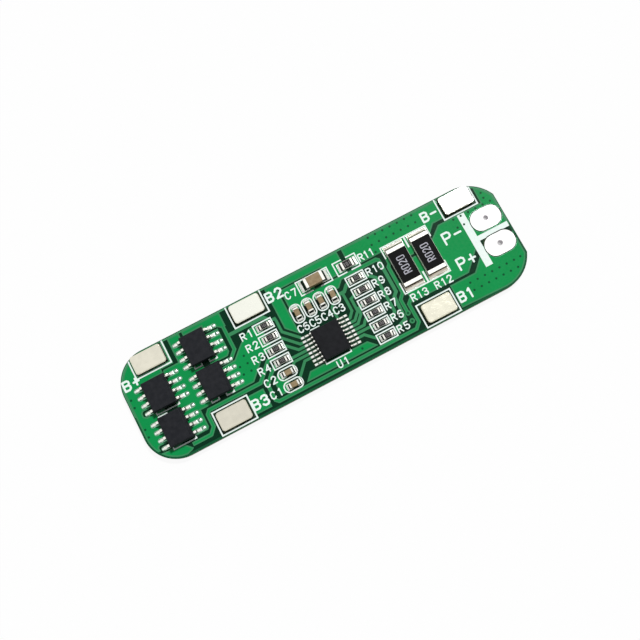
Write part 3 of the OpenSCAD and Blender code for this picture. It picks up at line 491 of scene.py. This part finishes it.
# A shunt's wide fillet is drawn out along the part, with a dark line under its upper edge.
SHUNT_FILLET_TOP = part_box("shunt_solder")[1].z
SHUNT_LINE = 0.14 * MM
SHUNT_SOLDER = banded(
    metal("shunt_fillet", (shade(240, 236, 226), shade(104, 92, 72)), scales=(1300.0, 3200.0),
          roughness=(0.14, 0.3), depth=0.03,
          sides=(shade(196, 186, 168), shade(196, 186, 168), shade(164, 152, 134), 0.7, 0.86),
          drawn=(0.3, 3.6, 1.0)),
    SHUNT_FILLET_TOP - SHUNT_LINE, SHUNT_FILLET_TOP, shade(66, 58, 48))
PLATING_TIN = metal("hole_plating", (shade(150, 146, 150), shade(126, 122, 126)), scales=(1800.0, 8000.0),
                    roughness=(0.2, 0.4), depth=0.01,
                    sides=(shade(186, 182, 186), shade(186, 182, 186), shade(178, 174, 178), 0.3, 0.8))
SHUNT_GLAZE = matt("shunt_glaze", (shade(5, 6, 6), shade(10, 11, 11)), scales=(1200.0, 12000.0),
                   roughness=(0.35, 0.5), depth=0.01, gloss=0.04)
CHIP_EPOXY = matt("chip_epoxy", (shade(17, 18, 21), shade(27, 28, 31)), scales=(1500.0, 14000.0),
                  roughness=(0.4, 0.6), depth=0.012, gloss=0.07)
CODE_INK = matt("code_ink", (shade(190, 190, 200), shade(160, 160, 170)), scales=(4000.0, 16000.0),
                roughness=(0.5, 0.7), depth=0.003, gloss=0.3)
SMALL_CODE_INK = matt("small_code_ink", (shade(146, 144, 144), shade(118, 116, 116)), scales=(4000.0, 16000.0),
                      roughness=(0.5, 0.7), depth=0.003, gloss=0.1)
# Each tab's tone differs by how the light falls on it: painted light on one and the same nickel.
TAB_LIT_TONES = {
    "tab_b_plus": shade(231, 227, 210),
    "tab_b3": shade(221, 217, 201),
    "tab_b2": shade(244, 245, 234),
    "tab_b1": shade(232, 229, 210),
    "tab_b_minus": shade(243, 244, 241),
}

# The nodes whose finish differs from that of their slot.
PAINT = {name: nickel_finish("nickel_of_" + name, tone) for name, tone in TAB_LIT_TONES.items()}
PAINT |= {"shunt_12_coat": SHUNT_GLAZE, "shunt_13_coat": SHUNT_GLAZE, "protection_ic": CHIP_EPOXY,
          "shunt_solder": SHUNT_SOLDER, "transistor_solder": LEAD_SOLDER, "chip_solder": CHIP_SOLDER,
          "tab_solder": TAB_FILM_AS_SHADE}


def finish_of(node):
    return PAINT[node] if node in PAINT else FINISHES[slot_of[node]]


def paint(piece, finish):
    piece.data.materials.clear()
    piece.data.materials.append(finish)


for node_name, cad_piece in frame["nodes"].items():
    paint(cad_piece, finish_of(node_name))


# ---------------------------------------------------------------- softened parts

WELD = 0.0005 * MM
FLAT = math.radians(2)
SHARP = math.radians(32)
# The moulded bodies: the round of their edges, the shortest edge that takes it, and the cut along the edge that
# marks a transistor's first lead, with how far in from the body's side that edge may lie.
BODY_ROUND = 0.06 * MM
BODY_STEPS = 3
BODY_SHORTEST = 0.5 * MM
MARK_CHAMFER = 0.26 * MM
MARK_REACH = 0.3 * MM
# The round of the edges in millimetres, by node.
SOFT_EDGES = dict.fromkeys(TAB_LIT_TONES, 0.07) | {
    "protection_ic_leads": 0.03, "resistor_ends": 0.05, "resistor_11_ends": 0.06, "capacitor_ends": 0.07,
    "capacitor_7_ends": 0.1, "shunt_12_ends": 0.06, "shunt_13_ends": 0.06,
}
LEAD_ROUND = 0.04 * MM
CAPACITOR_ROUND = 0.05 * MM
TRANSISTORS = range(1, 5)
CAPACITORS = range(1, 8)


def new_object(name, mesh):
    """The bmesh as an object of the scene."""
    data = bpy.data.meshes.new(name)
    mesh.to_mesh(data)
    mesh.free()
    piece = bpy.data.objects.new(name, data)
    bpy.context.scene.collection.objects.link(piece)
    return piece


def place_piece(name, mesh, finish):
    """The bmesh as a named piece of the board, in that finish."""
    bmesh.ops.recalc_face_normals(mesh, faces=mesh.faces)
    piece = new_object(name, mesh)
    paint(piece, finish)
    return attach(piece, BODY)


def bevel(mesh, edges, width, steps):
    """The edges cut back by that width, and the faces that this makes."""
    return bmesh.ops.bevel(mesh, geom=edges, offset=width, offset_type="OFFSET", affect="EDGES", segments=steps,
                           profile=0.5, material=-1, clamp_overlap=True)["faces"]


def soften(node, radius, steps=2, shortest=0.0, chamfer=0.0):
    """The node's solids with their edges rounded. Edges shorter than that stay as they are.

    A chamfer cuts the upper edge of the +X side first, as on a moulded body's marked side."""
    mesh = bmesh.new()
    mesh.from_mesh(frame["nodes"][node].data)
    bmesh.ops.remove_doubles(mesh, verts=mesh.verts, dist=WELD)
    bmesh.ops.dissolve_limit(mesh, angle_limit=FLAT, verts=mesh.verts, edges=mesh.edges)
    if chamfer:
        right, top = (max(vert.co[axis] for vert in mesh.verts) for axis in (0, 2))
        upper = [edge for edge in mesh.edges
                 if all(vert.co.z > top - WELD and vert.co.x > right - MARK_REACH for vert in edge.verts)]
        bevel(mesh, upper, chamfer, steps=1)
    sharp = [edge for edge in mesh.edges
             if len(edge.link_faces) == 2 and edge.calc_face_angle() > SHARP and edge.calc_length() > shortest]
    for face in bevel(mesh, sharp, radius, steps):
        face.smooth = True
    piece = place_piece(node + "_soft", mesh, finish_of(node))
    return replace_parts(piece, node)


for node_name, edge_round in SOFT_EDGES.items():
    soften(node_name, edge_round * MM)
for number in TRANSISTORS:
    soften(f"transistor_{number}", BODY_ROUND, BODY_STEPS, BODY_SHORTEST, MARK_CHAMFER)
    soften(f"transistor_{number}_leads", LEAD_ROUND)
soften("protection_ic", BODY_ROUND, BODY_STEPS, BODY_SHORTEST)
for number in CAPACITORS:
    soften(f"capacitor_{number}", CAPACITOR_ROUND)


# ---------------------------------------------------------------- lettering

# Each character is drawn in strokes on a grid 4 wide and 6 high. The letter O is the squarer zero of a value code.
GRID = Vector((4, 6))
STROKES = {
    "B": [[(0, 0), (0, 6), (3, 6), (4, 5.2), (4, 4), (3, 3.2), (0, 3.2)],
          [(3, 3.2), (4, 2.3), (4, 0.9), (3, 0), (0, 0)]],
    "P": [[(0, 0), (0, 6), (3, 6), (4, 5.2), (4, 3.7), (3, 2.9), (0, 2.9)]],
    "R": [[(0, 0), (0, 6), (3, 6), (4, 5.2), (4, 3.8), (3, 3), (0, 3)], [(1.9, 3), (4, 0)]],
    "C": [[(4, 4.8), (3, 6), (1.2, 6), (0, 4.6), (0, 1.4), (1.2, 0), (3, 0), (4, 1.2)]],
    "U": [[(0, 6), (0, 1.2), (1.1, 0), (2.9, 0), (4, 1.2), (4, 6)]],
    "0": [[(0, 1.3), (0, 4.7), (1.2, 6), (2.8, 6), (4, 4.7), (4, 1.3), (2.8, 0), (1.2, 0), (0, 1.3)]],
    "1": [[(1.2, 4.9), (2.4, 6), (2.4, 0)]],
    "2": [[(0.1, 4.7), (1.1, 6), (2.9, 6), (4, 4.9), (4, 3.8), (0, 0), (4, 0)]],
    "3": [[(0.1, 5), (1.1, 6), (2.9, 6), (3.9, 5.1), (3.9, 4.1), (2.9, 3.2), (1.6, 3.2)],
          [(2.9, 3.2), (4, 2.2), (4, 1), (2.9, 0), (1.1, 0), (0, 1)]],
    "4": [[(3, 0), (3, 6), (0, 2), (4, 2)]],
    "5": [[(3.8, 6), (0.3, 6), (0.2, 3.4), (2.8, 3.6), (4, 2.6), (4, 1.1), (2.8, 0), (1.1, 0), (0, 1)]],
    "6": [[(3.6, 5.5), (2.7, 6), (1.3, 6), (0, 4.6), (0, 1.2), (1.1, 0), (2.9, 0), (4, 1.1), (4, 2.5), (2.9, 3.5),
           (1.1, 3.5), (0, 2.6)]],
    "7": [[(0, 6), (4, 6), (1.5, 0)]],
    "8": [[(1.1, 3.2), (0.1, 4.1), (0.1, 5.1), (1.1, 6), (2.9, 6), (3.9, 5.1), (3.9, 4.1), (2.9, 3.2), (1.1, 3.2),
           (0, 2.2), (0, 1), (1.1, 0), (2.9, 0), (4, 1), (4, 2.2), (2.9, 3.2)]],
    "9": [[(0.4, 0.5), (1.3, 0), (2.7, 0), (4, 1.4), (4, 4.8), (2.9, 6), (1.1, 6), (0, 4.9), (0, 3.5), (1.1, 2.5),
           (2.9, 2.5), (4, 3.4)]],
    "O": [[(0, 0.5), (0, 5.5), (0.8, 6), (3.2, 6), (4, 5.5), (4, 0.5), (3.2, 0), (0.8, 0), (0, 0.5)]],
    "+": [[(0.2, 3), (3.8, 3)], [(2, 0.9), (2, 5.1)]],
    "-": [[(0.2, 3), (3.8, 3)]],
}
PEN_SIDES = 10
# Strokes that cross lie at slightly different heights, so that no two tops share a plane.
LAYERS = 7
LAYER_STEP = 0.0004 * MM
# Ink starts a little inside what it is printed on.
INK_SINK = 0.012 * MM
LEGEND_LOW = MASK_TOP - INK_SINK
LEGEND_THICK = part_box("silkscreen")[1].z - LEGEND_LOW - 0.004 * MM


def pen_line(mesh, start, end, width, base, top):
    """One stroke of the pen: a flat bar from start to end with round ends, from height base to top."""
    corners = []
    for spot in (start, end):
        for height in (base, top):
            corners += bmesh.ops.create_circle(mesh, cap_ends=False, radius=width / 2, segments=PEN_SIDES,
                                               matrix=Matrix.Translation((spot.x, spot.y, height)))["verts"]
    hull = bmesh.ops.convex_hull(mesh, input=corners, use_existing_faces=False)
    spare = {item for key in ("geom_interior", "geom_unused") for item in hull[key]}
    bmesh.ops.delete(mesh, geom=[item for item in spare if isinstance(item, bmesh.types.BMVert)], context="VERTS")


def write(mesh, text, corner, height, pitch, pen, base, thick, shape=2 / 3, turned=False):
    """The text in pen strokes from its lower left corner.

    The pitch runs from one character to the next, and the shape is a character's width over its height. Turned
    text reads along +Y."""
    cell = Vector((height * shape - pen, height - pen))
    count = 0
    for index, character in enumerate(text):
        for line in STROKES[character]:
            spots = []
            for point in line:
                across = index * pitch + pen / 2 + point[0] / GRID.x * cell.x
                up = pen / 2 + point[1] / GRID.y * cell.y
                spots.append(Vector((corner[0] - up, corner[1] + across)) if turned
                             else Vector((corner[0] + across, corner[1] + up)))
            for start, end in zip(spots, spots[1:]):
                count += 1
                pen_line(mesh, start, end, pen, base, base + thick + (count % LAYERS) * LAYER_STEP)


def middle_of(node):
    low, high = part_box(node)
    return (low + high) / 2


def label(mesh, text, node, offset, height, pitch, pen, **style):
    """A printed name. Its left end and middle height lie at that offset from the node's middle, all in mm."""
    middle = middle_of(node)
    write(mesh, text, (middle.x + offset[0] * MM, middle.y + (offset[1] - height / 2) * MM), height * MM,
          pitch * MM, pen * MM, LEGEND_LOW, LEGEND_THICK, **style)


# What each name belongs to, its offset from there, and its size, all in mm: terminals have a height and a pitch,
# and designators have a pitch.
TERMINALS = [
    ("B+", "tab_b_plus", (-5.3, -2.07), 1.75, 1.55), ("B2", "tab_b2", (3.22, 0.0), 1.75, 1.55),
    ("B3", "tab_b3", (2.92, -0.06), 1.75, 1.5), ("B1", "tab_b1", (3.35, -0.1), 1.75, 1.4),
    ("B-", "tab_b_minus", (-6.05, 0.0), 1.75, 1.5), ("P-", "wire_pad_p_minus", (-7.55, -0.05), 2.05, 1.8),
    ("P+", "wire_pad_p_plus", (-7.55, -0.08), 2.05, 1.8),
]
DESIGNATORS = [(f"R{n}", f"resistor_{n}", (-4.0, 0.0), 1.15) for n in range(1, 5)]
DESIGNATORS += [(f"R{n}", f"resistor_{n}", (1.73, 0.0), 1.15) for n in range(5, 10)]
DESIGNATORS += [("R10", "resistor_10", (1.73, 0.0), 1.03), ("R11", "resistor_11", (1.97, 0.0), 0.9)]
DESIGNATORS += [(f"C{n}", f"capacitor_{n}", (-4.0, 0.0), 1.15) for n in (1, 2)]
DESIGNATORS += [(f"C{n}", f"capacitor_{n}", (-1.1, -2.4), 1.0) for n in range(3, 7)]
DESIGNATORS += [("C7", "capacitor_7", (-5.05, -0.15), 1.15), ("U1", "protection_ic", (-0.91, -3.85), 1.1)]
DESIGNATORS += [("R12", "shunt_12", (-1.47, -5.1), 1.05), ("R13", "shunt_13", (-1.5, -5.1), 1.02)]
TERMINAL_PEN, TERMINAL_SHAPE = 0.32, 0.72
DESIGNATOR_HEIGHT, DESIGNATOR_PEN = 1.27, 0.2

legend = bmesh.new()
for text, node_name, offset, height, pitch in TERMINALS:
    label(legend, text, node_name, offset, height, pitch, TERMINAL_PEN, shape=TERMINAL_SHAPE)
for text, node_name, offset, pitch in DESIGNATORS:
    label(legend, text, node_name, offset, DESIGNATOR_HEIGHT, pitch, DESIGNATOR_PEN)
place_piece("printed_labels", legend, FINISHES["legend_ink"])

# The shunts' value code reads along the part, from its lower end.
CODE = "RO2O"
CODE_HEIGHT, CODE_PITCH, CODE_PEN = 1.35 * MM, 0.79 * MM, 0.16 * MM
CODE_SHAPE = 0.47
CODE_WIDTH = 0.45 * CODE_HEIGHT
CODE_SINK = 0.01 * MM
CODE_THICK = 0.016 * MM
for number in (12, 13):
    code = bmesh.new()
    coat = f"shunt_{number}_coat"
    middle = middle_of(coat)
    run = (len(CODE) - 1) * CODE_PITCH + CODE_WIDTH
    write(code, CODE, (middle.x + CODE_HEIGHT / 2, middle.y - run / 2), CODE_HEIGHT, CODE_PITCH, CODE_PEN,
          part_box(coat)[1].z - CODE_SINK, CODE_THICK, shape=CODE_SHAPE, turned=True)
    place_piece(f"shunt_{number}_code", code, CODE_INK)

# Each small resistor has a three-figure value code along it, sized by the part's width.
SMALL_CODES = {"102": range(1, 5), "103": range(5, 11), "101": (11,)}
SMALL_HEIGHT = 0.52
SMALL_PITCH, SMALL_PEN, SMALL_SHIFT = 0.62, 0.16, 0.06
SMALL_SHAPE = 0.5
SMALL_THICK = 0.014 * MM
values = bmesh.new()
for text, numbers in SMALL_CODES.items():
    for number in numbers:
        low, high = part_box(f"resistor_{number}")
        middle = (low + high) / 2
        tall = SMALL_HEIGHT * (high.y - low.y)
        step = tall * SMALL_PITCH
        write(values, text, (middle.x - len(text) / 2 * step + SMALL_SHIFT * tall, middle.y - tall / 2), tall, step,
              SMALL_PEN * tall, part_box("resistor_coats")[1].z - CODE_SINK, SMALL_THICK, shape=SMALL_SHAPE)
place_piece("resistor_codes", values, SMALL_CODE_INK)


# ---------------------------------------------------------------- plating of the wire holes

HOLE_SIDES = 48
PLATING = 0.025 * MM
LIP = 0.02 * MM
LIP_REACH = 0.05 * MM


def hole_plating(pad, mount):
    """The thin tinned wall of a wire hole, with its upper lip rolled onto the pad."""
    low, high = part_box(pad)
    radius = mount["dims"]["r_mm"] * MM
    centre = Vector(mount["pos_m"])
    mesh = bmesh.new()
    section = ((radius, low.z + LIP), (radius - PLATING, low.z + LIP), (radius - PLATING, high.z + LIP / 4),
               (radius + LIP_REACH, high.z + LIP / 4), (radius + LIP_REACH, high.z), (radius, high.z - LIP / 2))
    corners = [mesh.verts.new((centre.x + reach, centre.y, height)) for reach, height in section]
    outline = [mesh.edges.new(pair) for pair in zip(corners, corners[1:] + corners[:1])]
    bmesh.ops.spin(mesh, geom=corners + outline, cent=(centre.x, centre.y, 0.0), axis=(0.0, 0.0, 1.0),
                   angle=math.tau, steps=HOLE_SIDES, use_merge=True)
    place_piece(pad + "_plating", mesh, PLATING_TIN)


for wire_hole in wire_holes:
    hole_plating(wire_hole["name"].replace("wire_hole", "wire_pad"), wire_hole)


# ---------------------------------------------------------------- floor, lamp and camera

FLOOR_HALF = 3.0
FLOOR_GAP = 0.01 * MM
# How much of the floor's white is its own light, over all of it and in the shade under the wire holes.
FLOOR_WHITE = 0.92
FLOOR_UNDER = 0.5
UNDER_HOLES = 1.5 * MM
PAPER = (0.9, 0.9, 0.9, 1.0)
AMBIENT = 0.28
KEY_AZIMUTH, KEY_ELEVATION = math.radians(45), math.radians(58)
KEY_STRENGTH, KEY_ANGLE = 2.64, math.radians(9)
AIM = Vector((-0.8091, 0.2030, 1.2150)) * MM
CAMERA_DISTANCE = 124.452 * MM
CAMERA_AZIMUTH, CAMERA_ELEVATION, CAMERA_ROLL = (math.radians(angle) for angle in (-22.712, 80.067, 5.148))
CAMERA_LENS, CAMERA_SENSOR = 46.125, 36.0
CAMERA_NEAR, CAMERA_FAR = 0.005, 20.0


def seen_directly(tree, share):
    """The share for rays from the camera, off gloss and through glass, and nothing for the rest."""
    path = add(tree, "LightPath").outputs
    gloss_or_glass = calc(tree, "MAXIMUM", path["Is Glossy Ray"], path["Is Transmission Ray"])
    return calc(tree, "MULTIPLY", calc(tree, "MAXIMUM", path["Is Camera Ray"], gloss_or_glass), share)


def under_wire_holes(tree):
    """1 on the patch of floor that shows through the wire holes, and 0 round it."""
    axes = split(tree, add(tree, "TexCoord").outputs["Object"])
    spots = [Vector(mount["pos_m"]) for mount in wire_holes]
    beside = calc(tree, "ABSOLUTE", calc(tree, "SUBTRACT", axes["X"], spots[0].x))
    reach = max(abs(spot.y) for spot in spots) + UNDER_HOLES
    return calc(tree, "MULTIPLY", calc(tree, "LESS_THAN", beside, UNDER_HOLES),
                calc(tree, "LESS_THAN", calc(tree, "ABSOLUTE", axes["Y"]), reach))


def studio_floor():
    """A white sheet that shows white from above and to gloss, keeps a faint shadow, and is clear from below."""
    mesh = bmesh.new()
    bmesh.ops.create_grid(mesh, x_segments=1, y_segments=1, size=FLOOR_HALF,
                          matrix=Matrix.Translation((0, 0, cad_box[0][2] - FLOOR_GAP)))
    floor = new_object("floor", mesh)
    material = bpy.data.materials.new("floor_white")
    material.use_nodes = True
    tree = material.node_tree
    tree.nodes.clear()
    paper = add(tree, "BsdfDiffuse", Color=PAPER).outputs["BSDF"]
    white = add(tree, "Emission", Color=WHITE, Strength=1.0).outputs["Emission"]
    clear = add(tree, "BsdfTransparent").outputs["BSDF"]
    lit = spread(tree, under_wire_holes(tree), 0.0, 1.0, FLOOR_WHITE, FLOOR_UNDER)
    upper = blend_shaders(tree, seen_directly(tree, lit), paper, white)
    from_below = add(tree, "NewGeometry").outputs["Backfacing"]
    join(tree, blend_shaders(tree, from_below, upper, clear), add(tree, "OutputMaterial").inputs["Surface"])
    paint(floor, material)


def studio_world():
    """A dim white room that cameras and gloss see as plain white."""
    world = bpy.data.worlds.new("studio")
    bpy.context.scene.world = world
    world.use_nodes = True
    tree = world.node_tree
    tree.nodes.clear()
    soft, white = (add(tree, "Background", Color=WHITE, Strength=strength).outputs["Background"]
                   for strength in (AMBIENT, 1.0))
    join(tree, blend_shaders(tree, seen_directly(tree, 1.0), soft, white),
         add(tree, "OutputWorld").inputs["Surface"])


def aimed(spot):
    """The turn that points an object's -Z from the spot to the origin, with its Y up."""
    return (-spot).to_track_quat("-Z", "Y")


def key_lamp():
    """The sun, high over the +X +Y corner."""
    data = bpy.data.lights.new("key", "SUN")
    data.energy, data.angle = KEY_STRENGTH, KEY_ANGLE
    lamp = bpy.data.objects.new("key", data)
    bpy.context.scene.collection.objects.link(lamp)
    flat = math.cos(KEY_ELEVATION)
    lamp.rotation_mode = "QUATERNION"
    lamp.rotation_quaternion = aimed(Vector((flat * math.cos(KEY_AZIMUTH), flat * math.sin(KEY_AZIMUTH),
                                             math.sin(KEY_ELEVATION))))


def camera():
    """The camera above the board, turned about the vertical, tipped, and rolled about its own line of sight."""
    data = bpy.data.cameras.new("camera")
    data.lens, data.sensor_width = CAMERA_LENS, CAMERA_SENSOR
    data.clip_start, data.clip_end = CAMERA_NEAR, CAMERA_FAR
    view = bpy.data.objects.new("camera", data)
    bpy.context.scene.collection.objects.link(view)
    flat = math.cos(CAMERA_ELEVATION)
    back = Vector((math.sin(CAMERA_AZIMUTH) * flat, -math.cos(CAMERA_AZIMUTH) * flat, math.sin(CAMERA_ELEVATION)))
    view.rotation_mode = "QUATERNION"
    view.rotation_quaternion = Matrix.Rotation(CAMERA_ROLL, 3, -back).to_quaternion() @ aimed(back)
    view.location = AIM + back * CAMERA_DISTANCE
    bpy.context.scene.camera = view


studio_floor()
studio_world()
key_lamp()
camera()
bpy.context.scene.view_settings.view_transform = "Standard"
